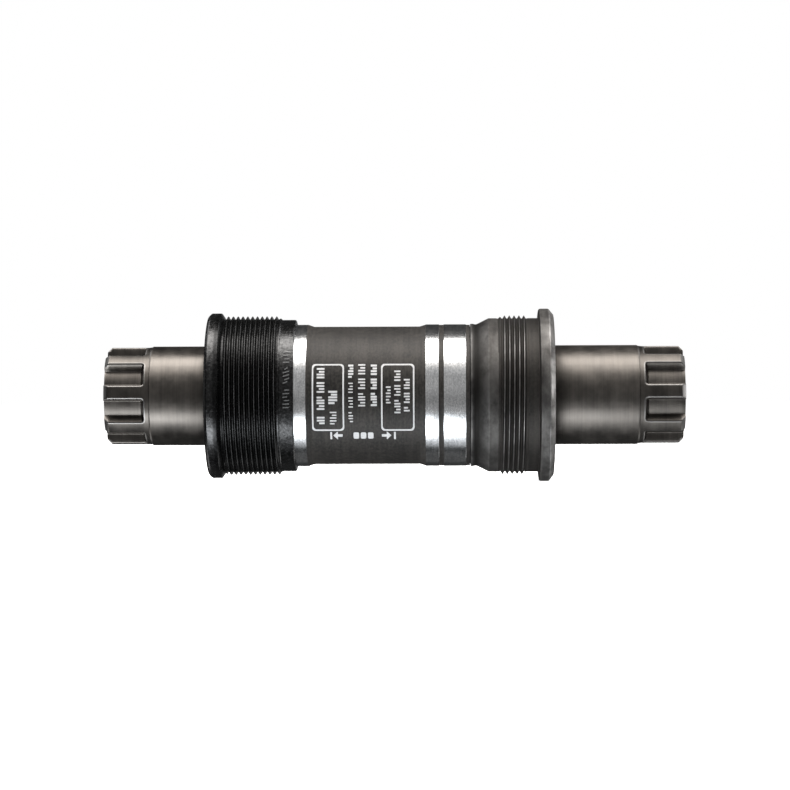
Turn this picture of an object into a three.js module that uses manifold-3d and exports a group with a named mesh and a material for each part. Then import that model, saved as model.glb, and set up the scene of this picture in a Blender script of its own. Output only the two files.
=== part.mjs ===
// Bottom bracket: a sealed cartridge unit for a 68 mm bicycle shell, with a hollow splined spindle.
// Millimetres. X runs along the spindle towards the drive side, Z is up, and the origin is the
// spindle's middle.
import * as THREE from "three";
import { mergeVertices } from "three/addons/utils/BufferGeometryUtils.js";
import Module from "manifold-3d";

const wasm = await Module();
wasm.setup();

// ---------- driving dimensions ----------
const ROUND_SIDES = 32; // sides of every turned surface, the same for all, so nested rings stay parallel
const DEG = Math.PI / 180;
const FIT = 0.05; // gap between pieces that are pressed together

const SPINDLE = {
  half: 63, // half the overall length
  radius: 10.85, // plain shaft that passes through the seals
  endChamfer: { length: 0.7, depth: 0.9 },
  bodyRadius: 11.5, // thicker middle between the raceways
  betweenRowsRadius: 11.2, // land between the two drive side raceways
};
const SPLINE = {
  teeth: 8,
  radius: 10.6, // over the teeth
  rootRadius: 8.6,
  length: 7.75, // of each groove's floor, from the tip
  lean: 1.2, // how much further the groove reaches at the top of its sloping end wall
  land: 9.95, // from the tip to the small step up to the plain shaft
  topHalfAngle: 7.4, // half a tooth, in degrees, at its top
  rootHalfAngle: 12.3, // half a tooth, in degrees, at its root
  turn: -4.3, // how far the teeth stand turned about X, in degrees
};
// M15 x 1 threads for the crank bolts, each behind a plain entry, and the wider bore between them.
const BOLT_THREAD = { minor: 7.0, major: 7.5, pitch: 1.0, turns: 7, sides: 16 };
const BOLT_ENTRY = { radius: 7.9, depth: 1.4, taper: 0.6, chamfer: 0.4 };
const HOLLOW = { half: 52.6, taper: 0.8, radius: 7.6 };

const SHELL = {
  left: -33.9,
  leftLandEnd: -18.85,
  tubeStart: -17.55,
  tubeEnd: 5.45,
  innerLand: [6.8, 9.65],
  outerLand: [10.75, 15.5],
  right: 27.9,
  landRadius: 15.53,
  tubeRadius: 15.07,
  stripRadius: 15.41, // unground strips beside the drive side lands
  cupSeatRadius: 15.05, // under the fixed cup
  bearingBore: 14.45,
  middleBore: 13.6,
  stop: 0.1, // from a race to the shoulder that stops it
};

const CUP_THREAD = { pitch: 25.4 / 24, root: 16.75, crest: 17.4 }; // 1.37 inch x 24 threads per inch
const SOCKET = { radius: 14.5, notchRadius: 15.45, notches: 20, notchWidth: 2.2, chamfer: 0.45 };
const ADAPTER = {
  outerFace: -40.7,
  flangeRadius: 18.08,
  flangeInner: -38.2,
  edge: 0.6, // radius of the flange's outer edge
  threadTurns: 10,
  noseStart: -25.0,
  noseRadius: 16.6,
  noseEdge: 0.4,
  end: -21.5,
  bore: 15.6,
  shoulder: -34.0, // bears on the cartridge's end
};
const CUP = {
  end: 16.5,
  endRadius: 15.62,
  coneStart: 18.5,
  coneStartRadius: 15.75,
  coneEnd: 20.5,
  plainRadius: 16.82, // before and after the thread
  threadTurns: 5,
  threadRelief: [22.3, 29.0], // the plain surface stops and starts again here
  seatFace: 31.4, // bears on the frame's shell
  seatEdge: 0.45,
  flangeRadius: 18.88,
  flangeOuter: 33.6,
  outerFace: 34.65,
  outerFaceRadius: 17.6,
  shoulder: 28.0, // the cartridge's end stops here
};

const BALL = { radius: 3.175 / 2, pitchRadius: 12.14, perRow: 13 };
const SPINDLE_GROOVE = { radius: 1.68, steps: 3 }; // section of the spindle's raceways
const ROWS = { left: -26.3, right_inner: 12.1, right_outer: 20.3 }; // where each row of balls runs
// Outer races. The high shoulder is outboard, where it takes the spindle's thrust.
const RACE = {
  halfWidth: 2.9,
  radius: 14.4,
  grooveRadius: 1.7,
  grooveSteps: 3,
  bottom: 13.87,
  highShoulder: 12.75,
  lowShoulder: 13.45,
};
const CAGE = { inner: 11.72, outer: 12.52, halfWidth: 2.2, window: 3.35 };
const SPACER_BORE = 12.9;
const SEAL = { lip: 10.95, lipDepth: 1.6, bond: 12.3, bore: 12.4, depth: 3.4, wall: 0.6, recess: 0.8 };

// ---------- materials ----------
const steel = (color, roughness) => new THREE.MeshStandardMaterial({ color, roughness, metalness: 1 });
const MATERIALS = {
  spindleSteel: steel(0x8c8379, 0.32),
  shellSteel: steel(0x6e6962, 0.42),
  cupSteel: steel(0x67625b, 0.45),
  raceSteel: steel(0xb4b4b6, 0.2),
  ballSteel: steel(0xd2d2d6, 0.08),
  sealSteel: steel(0x8d8d90, 0.4),
  adapterResin: new THREE.MeshStandardMaterial({ color: 0x161616, roughness: 0.45, metalness: 0 }),
  cageNylon: new THREE.MeshStandardMaterial({ color: 0xc9b98c, roughness: 0.55, metalness: 0 }),
  sealRubber: new THREE.MeshStandardMaterial({ color: 0x1d1d1f, roughness: 0.75, metalness: 0 }),
};

// ---------- solids from three.js geometry ----------
function solid(geometry) {
  const bare = geometry.clone();
  for (const name of Object.keys(bare.attributes)) {
    if (name !== "position") bare.deleteAttribute(name);
  }
  const merged = mergeVertices(bare, 1e-4);
  const corners = [];
  for (let i = 0; i < merged.index.count; i += 3) {
    const [a, b, c] = merged.index.array.slice(i, i + 3);
    if (a !== b && b !== c && c !== a) corners.push(a, b, c);
  }
  return new wasm.Manifold(
    new wasm.Mesh({
      numProp: 3,
      vertProperties: merged.attributes.position.array,
      triVerts: new Uint32Array(corners),
    }),
  );
}

function named(name, shape, material) {
  let geometry = shape;
  if (!shape.isBufferGeometry) {
    const data = shape.getMesh();
    geometry = new THREE.BufferGeometry()
      .setAttribute("position", new THREE.BufferAttribute(data.vertProperties, 3))
      .setIndex(new THREE.BufferAttribute(data.triVerts, 1));
  }
  const mesh = new THREE.Mesh(geometry, material);
  mesh.name = name;
  return mesh;
}

// A body turned about X. The outline is a list of [x, radius] points, once round the section.
function turned(outline, sides = ROUND_SIDES) {
  const twiceArea = outline.reduce((sum, [x, r], i) => {
    const [nextX, nextR] = outline[(i + 1) % outline.length];
    return sum + x * nextR - nextX * r;
  }, 0);
  const ordered = twiceArea < 0 ? outline : [...outline].reverse();
  const points = [...ordered, ordered[0]].map(([x, r]) => new THREE.Vector2(r, x));
  return solid(new THREE.LatheGeometry(points, sides).rotateZ(-Math.PI / 2));
}

// Section points of an arc: its centre, radius and end angles, in degrees from straight outwards.
function arc([x, r], radius, from, to, steps) {
  return Array.from({ length: steps + 1 }, (_, i) => {
    const angle = (from + ((to - from) * i) / steps) * DEG;
    return [x + radius * Math.sin(angle), r + radius * Math.cos(angle)];
  });
}

// A body turned about X with a helical ridge on it, a thread. The outline's [x, radius] points go
// round the section clockwise from the thread's right end to its left end, which are both at the
// root radius, and the root line begins at `from`. The crest rises out of the root over `fadeIn`
// turns and dies away over `fadeOut` turns. `hand` is 1 for a right-hand thread, -1 for a left-hand
// one, and `start` is the angle, in degrees, where the ridge begins.
function threaded(outline, thread) {
  const { from, turns, pitch, root, crest, hand, fadeIn, fadeOut, sides, start } = thread;
  const positions = [];
  const corners = [];
  const vertex = (x, radius, step) => {
    const angle = (2 * Math.PI * step) / sides;
    positions.push(x, -hand * radius * Math.sin(angle), radius * Math.cos(angle));
    return positions.length / 3 - 1;
  };
  const fan = (centre, rim) => {
    for (let i = 1; i < rim.length; i++) {
      corners.push(centre, ...(hand > 0 ? [rim[i - 1], rim[i]] : [rim[i], rim[i - 1]]));
    }
  };

  const rings = outline.map(([x, radius]) => {
    return Array.from({ length: sides }, (_, step) => vertex(x, radius, step));
  });
  const roots = [];
  for (let i = 0; i <= (turns + 1) * sides; i++) {
    roots.push(vertex(from + (pitch * i) / sides, root, i));
  }
  const crests = [];
  for (let i = 0; i <= turns * sides; i++) {
    const turn = i / sides;
    const height = Math.min(1, turn / fadeIn, (turns - turn) / fadeOut) * (crest - root);
    crests.push(vertex(from + pitch * (turn + 0.5), root + height, i));
  }

  // The plain bands round the rest of the section.
  for (let k = 1; k < rings.length; k++) {
    const [a, b] = [rings[k - 1], rings[k]];
    for (let i = 0; i < sides; i++) {
      const next = (i + 1) % sides;
      fan(a[i], [a[next], b[next], b[i]]);
    }
  }
  // Both flanks of the ridge.
  for (let i = 0; i < turns * sides; i++) {
    fan(roots[i], [roots[i + 1], crests[i + 1], crests[i]]);
    fan(crests[i], [crests[i + 1], roots[i + 1 + sides], roots[i + sides]]);
  }
  // The bands on either side of the ridge. One cell of each also meets an end of the ridge.
  const left = rings.at(-1);
  for (let i = 0; i < sides - 1; i++) fan(left[i], [left[i + 1], roots[i + 1], roots[i]]);
  fan(left[sides - 1], [left[0], roots[0], crests[0], roots[sides], roots[sides - 1]]);
  const right = rings[0];
  const lastRoots = roots.slice(turns * sides);
  for (let i = 1; i < sides; i++) {
    fan(lastRoots[i], [lastRoots[i + 1], right[(i + 1) % sides], right[i]]);
  }
  fan(lastRoots[1], [right[1], right[0], lastRoots[sides], crests.at(-1), lastRoots[0]]);

  const geometry = new THREE.BufferGeometry()
    .setAttribute("position", new THREE.Float32BufferAttribute(positions, 3))
    .setIndex(corners);
  return solid(geometry.rotateX(start * DEG));
}

// What is left when equal cutters, spaced evenly about X, are taken away.
function cutAround(made, cutter, count, firstAngle = 0) {
  let left = made;
  for (let i = 0; i < count; i++) {
    left = left.subtract(solid(cutter.clone().rotateX((firstAngle + (360 * i) / count) * DEG)));
  }
  return left;
}

// ---------- spindle ----------
// The groove between two teeth at the drive side end, as a cutter that points up.
function splineGroove() {
  const pitchHalf = 180 / SPLINE.teeth;
  const corner = (radius, toothHalfAngle) => {
    const angle = (pitchHalf - toothHalfAngle) * DEG;
    return new THREE.Vector2(-radius * Math.cos(angle), radius * Math.sin(angle));
  };
  const foot = corner(SPLINE.rootRadius, SPLINE.rootHalfAngle);
  const above = corner(SPLINE.radius, SPLINE.topHalfAngle).lerp(foot, -0.6);
  const mirrored = (point) => new THREE.Vector2(point.x, -point.y);
  const floorMiddle = new THREE.Vector2(-SPLINE.rootRadius, 0);
  const shape = new THREE.Shape([above, foot, floorMiddle, mirrored(foot), mirrored(above)]);
  const overshoot = 1;
  const cutter = new THREE.ExtrudeGeometry(shape, {
    depth: SPLINE.length + overshoot,
    bevelEnabled: false,
  });
  cutter.rotateY(Math.PI / 2);
  const position = cutter.attributes.position;
  const slope = SPLINE.lean / (SPLINE.radius - SPLINE.rootRadius);
  for (let i = 0; i < position.count; i++) {
    const rise = Math.max(0, position.getZ(i) - SPLINE.rootRadius);
    if (position.getX(i) < overshoot) position.setX(i, position.getX(i) - slope * rise);
  }
  return cutter.translate(SPINDLE.half - SPLINE.length, 0, 0);
}

// Section of one of the spindle's raceways, between lands of the two radii.
function spindleRaceway(x, leftLand, rightLand) {
  const reach = (land) => Math.acos((BALL.pitchRadius - land) / SPINDLE_GROOVE.radius) / DEG;
  const centre = [x, BALL.pitchRadius];
  const { radius, steps } = SPINDLE_GROOVE;
  return arc(centre, radius, 180 + reach(leftLand), 180 - reach(rightLand), steps);
}

// The crank bolt's entry and thread at one end of the spindle, as a solid to take away. Its sides
// are turned so that none of its edges meets one of the spindle's.
function boltHole(side) {
  const { minor, pitch, turns } = BOLT_THREAD;
  const overshoot = 1;
  const entryEnd = SPINDLE.half - BOLT_ENTRY.depth;
  const threadStart = entryEnd - BOLT_ENTRY.taper;
  const ridge = (turns + 1) * pitch;
  const holeEnd = threadStart - ridge - pitch;
  const mouthRadius = BOLT_ENTRY.radius + BOLT_ENTRY.chamfer + overshoot;
  const section = [
    [side * threadStart, minor],
    [side * entryEnd, BOLT_ENTRY.radius],
    [side * (SPINDLE.half - BOLT_ENTRY.chamfer), BOLT_ENTRY.radius],
    [side * (SPINDLE.half + overshoot), mouthRadius],
    [side * (SPINDLE.half + overshoot), 0],
    [side * holeEnd, 0],
    [side * holeEnd, minor],
  ];
  return threaded(side > 0 ? section : section.reverse(), {
    ...BOLT_THREAD,
    root: minor,
    crest: BOLT_THREAD.major,
    from: side > 0 ? threadStart - ridge - 0.1 : 0.1 - threadStart,
    hand: 1,
    fadeIn: 0.5,
    fadeOut: 0.5,
    start: 180 / ROUND_SIDES,
  });
}

function spindle() {
  const tip = SPINDLE.half;
  const landEnd = tip - SPLINE.land;
  const stepLength = 0.1;
  const chamfer = SPINDLE.endChamfer;
  const end = (side) => [
    [side * tip, 0],
    [side * tip, SPLINE.radius - chamfer.depth],
    [side * (tip - chamfer.length), SPLINE.radius],
    [side * landEnd, SPLINE.radius],
    [side * (landEnd - stepLength), SPINDLE.radius],
  ];
  const outline = [
    ...end(-1),
    ...spindleRaceway(ROWS.left, SPINDLE.radius, SPINDLE.bodyRadius),
    ...spindleRaceway(ROWS.right_inner, SPINDLE.bodyRadius, SPINDLE.betweenRowsRadius),
    ...spindleRaceway(ROWS.right_outer, SPINDLE.betweenRowsRadius, SPINDLE.radius),
    ...end(1).reverse(),
  ];
  const groove = splineGroove();
  const firstGroove = SPLINE.turn + 180 / SPLINE.teeth;
  let made = cutAround(turned(outline), groove, SPLINE.teeth, firstGroove);
  made = cutAround(made, groove.clone().rotateZ(Math.PI), SPLINE.teeth, firstGroove);

  for (const side of [-1, 1]) made = made.subtract(boltHole(side));
  const hollow = turned(
    [
      [-HOLLOW.half, 0],
      [-HOLLOW.half, BOLT_THREAD.minor - 0.3],
      [-HOLLOW.half + HOLLOW.taper, HOLLOW.radius],
      [HOLLOW.half - HOLLOW.taper, HOLLOW.radius],
      [HOLLOW.half, BOLT_THREAD.minor - 0.3],
      [HOLLOW.half, 0],
    ],
    BOLT_THREAD.sides,
  );
  return made.subtract(hollow);
}

// ---------- cartridge shell ----------
function cartridgeShell() {
  const s = SHELL;
  const edge = 0.1;
  const leftShoulder = ROWS.left + RACE.halfWidth + s.stop;
  const rightShoulder = ROWS.right_inner - RACE.halfWidth - s.stop;
  const underCup = CUP.end - edge;
  return turned([
    [s.left, s.landRadius],
    [s.leftLandEnd, s.landRadius],
    [s.tubeStart, s.tubeRadius],
    [s.tubeEnd, s.tubeRadius],
    [s.innerLand[0], s.landRadius],
    [s.innerLand[1], s.landRadius],
    [s.innerLand[1] + edge, s.stripRadius],
    [s.outerLand[0] - edge, s.stripRadius],
    [s.outerLand[0], s.landRadius],
    [s.outerLand[1], s.landRadius],
    [s.outerLand[1] + edge, s.stripRadius],
    [underCup, s.stripRadius],
    [underCup, s.cupSeatRadius],
    [s.right, s.cupSeatRadius],
    [s.right, s.bearingBore],
    [rightShoulder, s.bearingBore],
    [rightShoulder, s.middleBore],
    [leftShoulder, s.middleBore],
    [leftShoulder, s.bearingBore],
    [s.left, s.bearingBore],
  ]);
}

// ---------- cups ----------
// The bore of a cup, from its inner end to its outer face: wide where it takes the cartridge, then
// the tool socket.
function cupBore(innerEnd, bore, shoulder, outerFace) {
  const mouth = outerFace - Math.sign(outerFace) * SOCKET.chamfer;
  return [
    [innerEnd, bore],
    [shoulder, bore],
    [shoulder, SOCKET.radius],
    [mouth, SOCKET.radius],
    [outerFace, SOCKET.radius + SOCKET.chamfer],
  ];
}

// One notch of the tool socket, as a cutter that points up.
function socketNotch(shoulder, outerFace) {
  const out = Math.sign(outerFace);
  const from = shoulder + out * 0.6;
  const to = outerFace + out;
  const inner = SOCKET.radius - 1;
  const height = SOCKET.notchRadius - inner;
  const box = new THREE.BoxGeometry(Math.abs(to - from), SOCKET.notchWidth, height);
  return box.translate((from + to) / 2, 0, inner + height / 2);
}

function leftAdapter() {
  const a = ADAPTER;
  const flangeEdge = [a.outerFace + a.edge, a.flangeRadius - a.edge];
  const coneEnd = a.flangeInner + a.flangeRadius - CUP_THREAD.root;
  const section = [
    [a.noseStart, CUP_THREAD.root],
    [a.noseStart + 0.05, a.noseRadius],
    [a.end - a.noseEdge, a.noseRadius],
    [a.end, a.noseRadius - a.noseEdge],
    ...cupBore(a.end, a.bore, a.shoulder, a.outerFace),
    ...arc(flangeEdge, a.edge, -90, 0, 2),
    [a.flangeInner, a.flangeRadius],
    [coneEnd, CUP_THREAD.root],
  ];
  const made = threaded(section, {
    ...CUP_THREAD,
    from: coneEnd + 0.05,
    turns: a.threadTurns,
    hand: 1,
    fadeIn: 0.25,
    fadeOut: 0.5,
    sides: ROUND_SIDES,
    start: 0,
  });
  return cutAround(made, socketNotch(a.shoulder, a.outerFace), SOCKET.notches);
}

function fixedCup() {
  const c = CUP;
  const section = [
    [c.threadRelief[1] - 0.1, CUP_THREAD.root],
    [c.threadRelief[1], c.plainRadius],
    [c.seatFace, c.plainRadius],
    [c.seatFace, c.flangeRadius - c.seatEdge],
    [c.seatFace + c.seatEdge, c.flangeRadius],
    [c.flangeOuter, c.flangeRadius],
    [c.outerFace, c.outerFaceRadius],
    ...cupBore(c.end, SHELL.cupSeatRadius + FIT, c.shoulder, c.outerFace).reverse(),
    [c.end, c.endRadius],
    [c.coneStart, c.coneStartRadius],
    [c.coneEnd, c.plainRadius],
    [c.threadRelief[0], c.plainRadius],
    [c.threadRelief[0] + 0.1, CUP_THREAD.root],
  ];
  const made = threaded(section, {
    ...CUP_THREAD,
    from: c.threadRelief[0] + 0.15,
    turns: c.threadTurns,
    hand: -1,
    fadeIn: 0.75,
    fadeOut: 0.5,
    sides: ROUND_SIDES,
    start: 0,
  });
  return cutAround(made, socketNotch(c.shoulder, c.outerFace), SOCKET.notches);
}

// ---------- bearings ----------
function race(x) {
  const outboard = Math.sign(x);
  const { grooveRadius, grooveSteps, highShoulder, lowShoulder } = RACE;
  const centre = [x, RACE.bottom - grooveRadius];
  const reach = (shoulder) => Math.acos((shoulder - centre[1]) / grooveRadius) / DEG;
  const [from, to] = [outboard * reach(highShoulder), -outboard * reach(lowShoulder)];
  return turned([
    [x - outboard * RACE.halfWidth, RACE.radius],
    [x + outboard * RACE.halfWidth, RACE.radius],
    [x + outboard * RACE.halfWidth, highShoulder],
    ...arc(centre, grooveRadius, from, to, grooveSteps),
    [x - outboard * RACE.halfWidth, lowShoulder],
  ]);
}

function ring(from, to, inner, outer) {
  return turned([
    [from, inner],
    [from, outer],
    [to, outer],
    [to, inner],
  ]);
}

function cage(x) {
  const band = ring(x - CAGE.halfWidth, x + CAGE.halfWidth, CAGE.inner, CAGE.outer);
  const window = new THREE.BoxGeometry(CAGE.window, CAGE.window, 3).translate(x, 0, BALL.pitchRadius);
  return cutAround(band, window, BALL.perRow);
}

function ball(name, x, index) {
  const angle = (2 * Math.PI * index) / BALL.perRow;
  const mesh = named(name, new THREE.IcosahedronGeometry(BALL.radius, 1), MATERIALS.ballSteel);
  mesh.position.set(x, -BALL.pitchRadius * Math.sin(angle), BALL.pitchRadius * Math.cos(angle));
  return mesh;
}

// ---------- seals ----------
// The outer face of the seal at one end of the cartridge, along X.
function sealFace(side) {
  return side < 0 ? SHELL.left + SEAL.recess : SHELL.right - SEAL.recess;
}

// A steel case of L section, pressed into the shell, with its flat wall outwards.
function sealCase(side) {
  const x = (depth) => sealFace(side) - side * depth;
  return turned([
    [x(0), SEAL.bore],
    [x(0), RACE.radius],
    [x(SEAL.depth), RACE.radius],
    [x(SEAL.depth), RACE.radius - SEAL.wall],
    [x(SEAL.wall), RACE.radius - SEAL.wall],
    [x(SEAL.wall), SEAL.bore],
  ]);
}

// A rubber ring inside the case, with a lip that runs on the spindle.
function sealLip(side) {
  const x = (depth) => sealFace(side) - side * depth;
  const lipMiddle = SEAL.lipDepth / 2;
  return turned([
    [x(0), SEAL.bond],
    [x(0), SEAL.bond - 0.4],
    [x(lipMiddle - 0.3), SEAL.lip],
    [x(lipMiddle + 0.3), SEAL.lip],
    [x(SEAL.lipDepth), SEAL.bond - 0.3],
    [x(SEAL.lipDepth), SEAL.bond],
  ]);
}

// ---------- the assembly ----------
const spacerFrom = ROWS.right_inner + RACE.halfWidth + FIT;
const spacerTo = ROWS.right_outer - RACE.halfWidth - FIT;

const bottomBracket = new THREE.Group();
bottomBracket.add(
  named("spindle", spindle(), MATERIALS.spindleSteel),
  named("cartridge_shell", cartridgeShell(), MATERIALS.shellSteel),
  named("left_adapter_cup", leftAdapter(), MATERIALS.adapterResin),
  named("right_fixed_cup", fixedCup(), MATERIALS.cupSteel),
  named("race_spacer", ring(spacerFrom, spacerTo, SPACER_BORE, RACE.radius), MATERIALS.raceSteel),
);
for (const [end, side] of Object.entries({ left: -1, right: 1 })) {
  bottomBracket.add(
    named(`${end}_seal_case`, sealCase(side), MATERIALS.sealSteel),
    named(`${end}_seal_lip`, sealLip(side), MATERIALS.sealRubber),
  );
}
for (const [row, x] of Object.entries(ROWS)) {
  const turning = new THREE.Group();
  turning.add(named(`${row}_ball_cage`, cage(x), MATERIALS.cageNylon));
  for (let i = 0; i < BALL.perRow; i++) {
    turning.add(ball(`${row}_ball_${String(i + 1).padStart(2, "0")}`, x, i));
  }
  bottomBracket.add(named(`${row}_bearing_race`, race(x), MATERIALS.raceSteel), turning);
}

export default bottomBracket;
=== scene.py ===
"""Looks of the cartridge bottom bracket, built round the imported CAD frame.

Lengths are millimetres until a mesh is made; Blender and the frame use metres.
X runs along the spindle towards the drive side, and nearly every piece is turned about it.
"""

import math

import bmesh
import bpy
import numpy as np
from mathutils import Matrix, Vector


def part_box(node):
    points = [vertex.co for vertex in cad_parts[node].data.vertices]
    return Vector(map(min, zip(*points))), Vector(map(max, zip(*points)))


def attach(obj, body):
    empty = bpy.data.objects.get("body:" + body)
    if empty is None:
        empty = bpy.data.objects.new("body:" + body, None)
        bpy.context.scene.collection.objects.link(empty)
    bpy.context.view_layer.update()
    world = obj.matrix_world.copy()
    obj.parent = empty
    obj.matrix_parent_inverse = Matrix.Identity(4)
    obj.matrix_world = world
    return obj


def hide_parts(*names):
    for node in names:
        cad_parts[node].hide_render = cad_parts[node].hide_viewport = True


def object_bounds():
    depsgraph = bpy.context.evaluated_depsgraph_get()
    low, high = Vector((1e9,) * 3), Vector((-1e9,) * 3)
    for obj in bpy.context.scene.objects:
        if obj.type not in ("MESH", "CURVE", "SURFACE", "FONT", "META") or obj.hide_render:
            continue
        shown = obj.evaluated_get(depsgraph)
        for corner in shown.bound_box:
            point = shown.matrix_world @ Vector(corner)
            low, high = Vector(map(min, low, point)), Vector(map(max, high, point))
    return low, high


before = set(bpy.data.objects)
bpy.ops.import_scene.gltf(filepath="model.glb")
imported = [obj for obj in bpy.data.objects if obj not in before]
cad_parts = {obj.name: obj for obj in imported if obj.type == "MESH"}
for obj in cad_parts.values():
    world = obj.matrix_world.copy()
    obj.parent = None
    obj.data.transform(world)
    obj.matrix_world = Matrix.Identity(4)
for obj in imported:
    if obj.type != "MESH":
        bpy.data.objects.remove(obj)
cad_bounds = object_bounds()

MM = 0.001
TURN = 2 * math.pi
DEG = math.pi / 180
PLAIN_SIDES = 192  # columns round a piece that has no features round its axis
FACET = 24 * DEG  # largest bend between neighbouring facets of a rounded edge
SHARP = 38 * DEG  # edges that bend more than this stay crisp

# Rows of balls by name, with the x of each.
ROWS = {"left": -26.3, "right_inner": 12.1, "right_outer": 20.3}
BALLS = 13  # in each row
BALL_RADIUS = 1.5875
BALL_CIRCLE = 12.14  # radius of the circle of the balls' centres

# Thread of the frame shell: 1.37 inch x 24 threads per inch.
CUP_PITCH = 25.4 / 24
CUP_ROOT = 16.75
CUP_CREST = 17.4
ADAPTER_THREAD = (-37.05, -24.72)
CUP_THREAD = (22.4, 28.95)
# One pitch of its profile, as (share of the pitch, share of the height).
CUP_PROFILE = (
    (0.0, 0.0),
    (0.06, 0.005),
    (0.10, 0.04),
    (0.13, 0.10),
    (0.16, 0.175),
    (0.40, 0.842),
    (0.43, 0.92),
    (0.46, 0.98),
    (0.5, 1.0),
    (0.54, 0.98),
    (0.57, 0.92),
    (0.60, 0.842),
    (0.84, 0.175),
    (0.87, 0.10),
    (0.90, 0.04),
    (0.94, 0.005),
)
# Thread of the crank bolts: M15 x 1, cut into the spindle's ends.
BOLT_PITCH = 1.0
BOLT_CREST = 7.0
BOLT_ROOT = 7.5
BOLT_THREAD = (52.95, 60.95)
BOLT_PROFILE = ((0.0, 0.0), (0.1, 0.0), (0.45, 1.0), (0.55, 1.0), (0.9, 0.0))


def ends(node):
    """The lowest and highest x of a CAD node and its outer radius."""
    low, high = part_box(node)
    return low.x / MM, high.x / MM, high.z / MM


# ---------------------------------------------------------------- sections
# A row is (x, radius, strip): one line round the piece, and the material of the surface from it to
# the next row. x and radius are numbers, or arrays with one value per column.


def rounded(points):
    """Rows of an open outline of (x, radius, fillet, strip) points, with its corners rounded."""
    rows = []
    for i, (x, r, fillet, strip) in enumerate(points):
        if fillet == 0 or i in (0, len(points) - 1):
            rows.append((x, r, strip))
            continue
        here = np.array((x, r))
        back = np.array(points[i - 1][:2]) - here
        ahead = np.array(points[i + 1][:2]) - here
        shorter = min(np.linalg.norm(back), np.linalg.norm(ahead))
        back /= np.linalg.norm(back)
        ahead /= np.linalg.norm(ahead)
        half = math.acos(max(-1.0, min(1.0, float(back @ ahead)))) / 2
        reach = min(fillet / math.tan(half), 0.48 * shorter)
        inwards = (back + ahead) / np.linalg.norm(back + ahead)
        centre = here + inwards * reach / math.cos(half)
        first = here + back * reach - centre
        last = here + ahead * reach - centre
        sweep = math.pi - 2 * half
        steps = max(2, math.ceil(sweep / FACET))
        for k in range(steps + 1):
            t = k / steps
            arm = math.sin((1 - t) * sweep) * first + math.sin(t * sweep) * last
            px, pr = centre + arm / math.sin(sweep)
            rows.append((px, pr, strip if k == steps else points[i - 1][3]))
    return rows


def arc(centre, radius, start, end, steps):
    """Points of an arc; its end angles are in degrees from straight outwards, towards +x."""
    points = []
    for k in range(steps + 1):
        angle = (start + (end - start) * k / steps) * DEG
        x = centre[0] + radius * math.sin(angle)
        points.append((x, centre[1] + radius * math.cos(angle), 0, 0))
    return points


def smooth(t):
    """An even step from 0 to 1."""
    t = np.clip(t, 0, 1)
    return t * t * (3 - 2 * t)


def peak(x, centre, width):
    """1 at the centre, and close to 0 from twice this width on."""
    return np.exp(-(((x - centre) / width) ** 2))


def thread_rows(angles, span, foot, top, pitch, profile, phase, hand, fades, strip=0):
    """Rows that follow a thread along a span of x, between the radii of its foot and its top.

    phase is the x of a foot at angle 0. hand is 1 for a right-hand thread, -1 for a left-hand one.
    fades are the lengths over which the thread grows and shrinks at the two ends of its span.
    """
    start, end = span
    first = math.floor((start - phase) / pitch) - 2
    last = math.ceil((end - phase) / pitch) + 2
    rows = []
    for turn in range(first, last):
        for share, height in profile:
            x = np.clip(phase + pitch * (turn + share + hand * angles / TURN), start, end)
            rise = smooth((x - start) / fades[0]) * smooth((end - x) / fades[1])
            rows.append((x, foot + (top - foot) * height * rise, strip))
    return rows


# ---------------------------------------------------------------- meshes


def finish_mesh(name, mesh, looks):
    """An object of this mesh, smooth but for its sharp edges."""
    for look in looks:
        mesh.materials.append(look)
    mesh.shade_smooth()
    mesh.set_sharp_from_angle(angle=SHARP)
    piece = bpy.data.objects.new(name, mesh)
    bpy.context.scene.collection.objects.link(piece)
    return piece


def ring(name, rows, looks, angles=None, wear_and_highlight=None):
    """A piece turned about X. Its rows go round its section clockwise, seen with x to the right."""
    if angles is None:
        angles = np.linspace(0, TURN, PLAIN_SIDES + 1)
    x = np.array([np.broadcast_to(row[0], angles.shape) for row in rows], float)
    r = np.array([np.broadcast_to(row[1], angles.shape) for row in rows], float)
    points = np.stack([x, -r * np.sin(angles), r * np.cos(angles)], -1) * MM
    here = np.arange(x.size).reshape(x.shape)
    after = np.roll(here, -1, axis=0)
    corners = (here[:, :-1], here[:, 1:], after[:, 1:], after[:, :-1])
    quads = np.stack(corners, -1).reshape(-1, 4)
    strips = np.repeat([row[2] for row in rows], len(angles) - 1)
    mesh = bpy.data.meshes.new(name)
    mesh.from_pydata(points.reshape(-1, 3), [], quads.tolist())
    mesh.polygons.foreach_set("material_index", strips.astype(np.int32))
    if wear_and_highlight is not None:
        # this point attribute holds rubbing and painted highlights
        layer = mesh.attributes.new("wear_and_highlight", "FLOAT", "POINT")
        layer.data.foreach_set("value", wear_and_highlight(x, r, angles).ravel().astype(np.float32))
    edit = bmesh.new()
    edit.from_mesh(mesh)
    bmesh.ops.remove_doubles(edit, verts=edit.verts, dist=1e-6)
    bmesh.ops.dissolve_degenerate(edit, edges=edit.edges, dist=1e-7)
    edit.to_mesh(mesh)
    edit.free()
    return finish_mesh(name, mesh, looks)


# ---------------------------------------------------------------- materials


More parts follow.
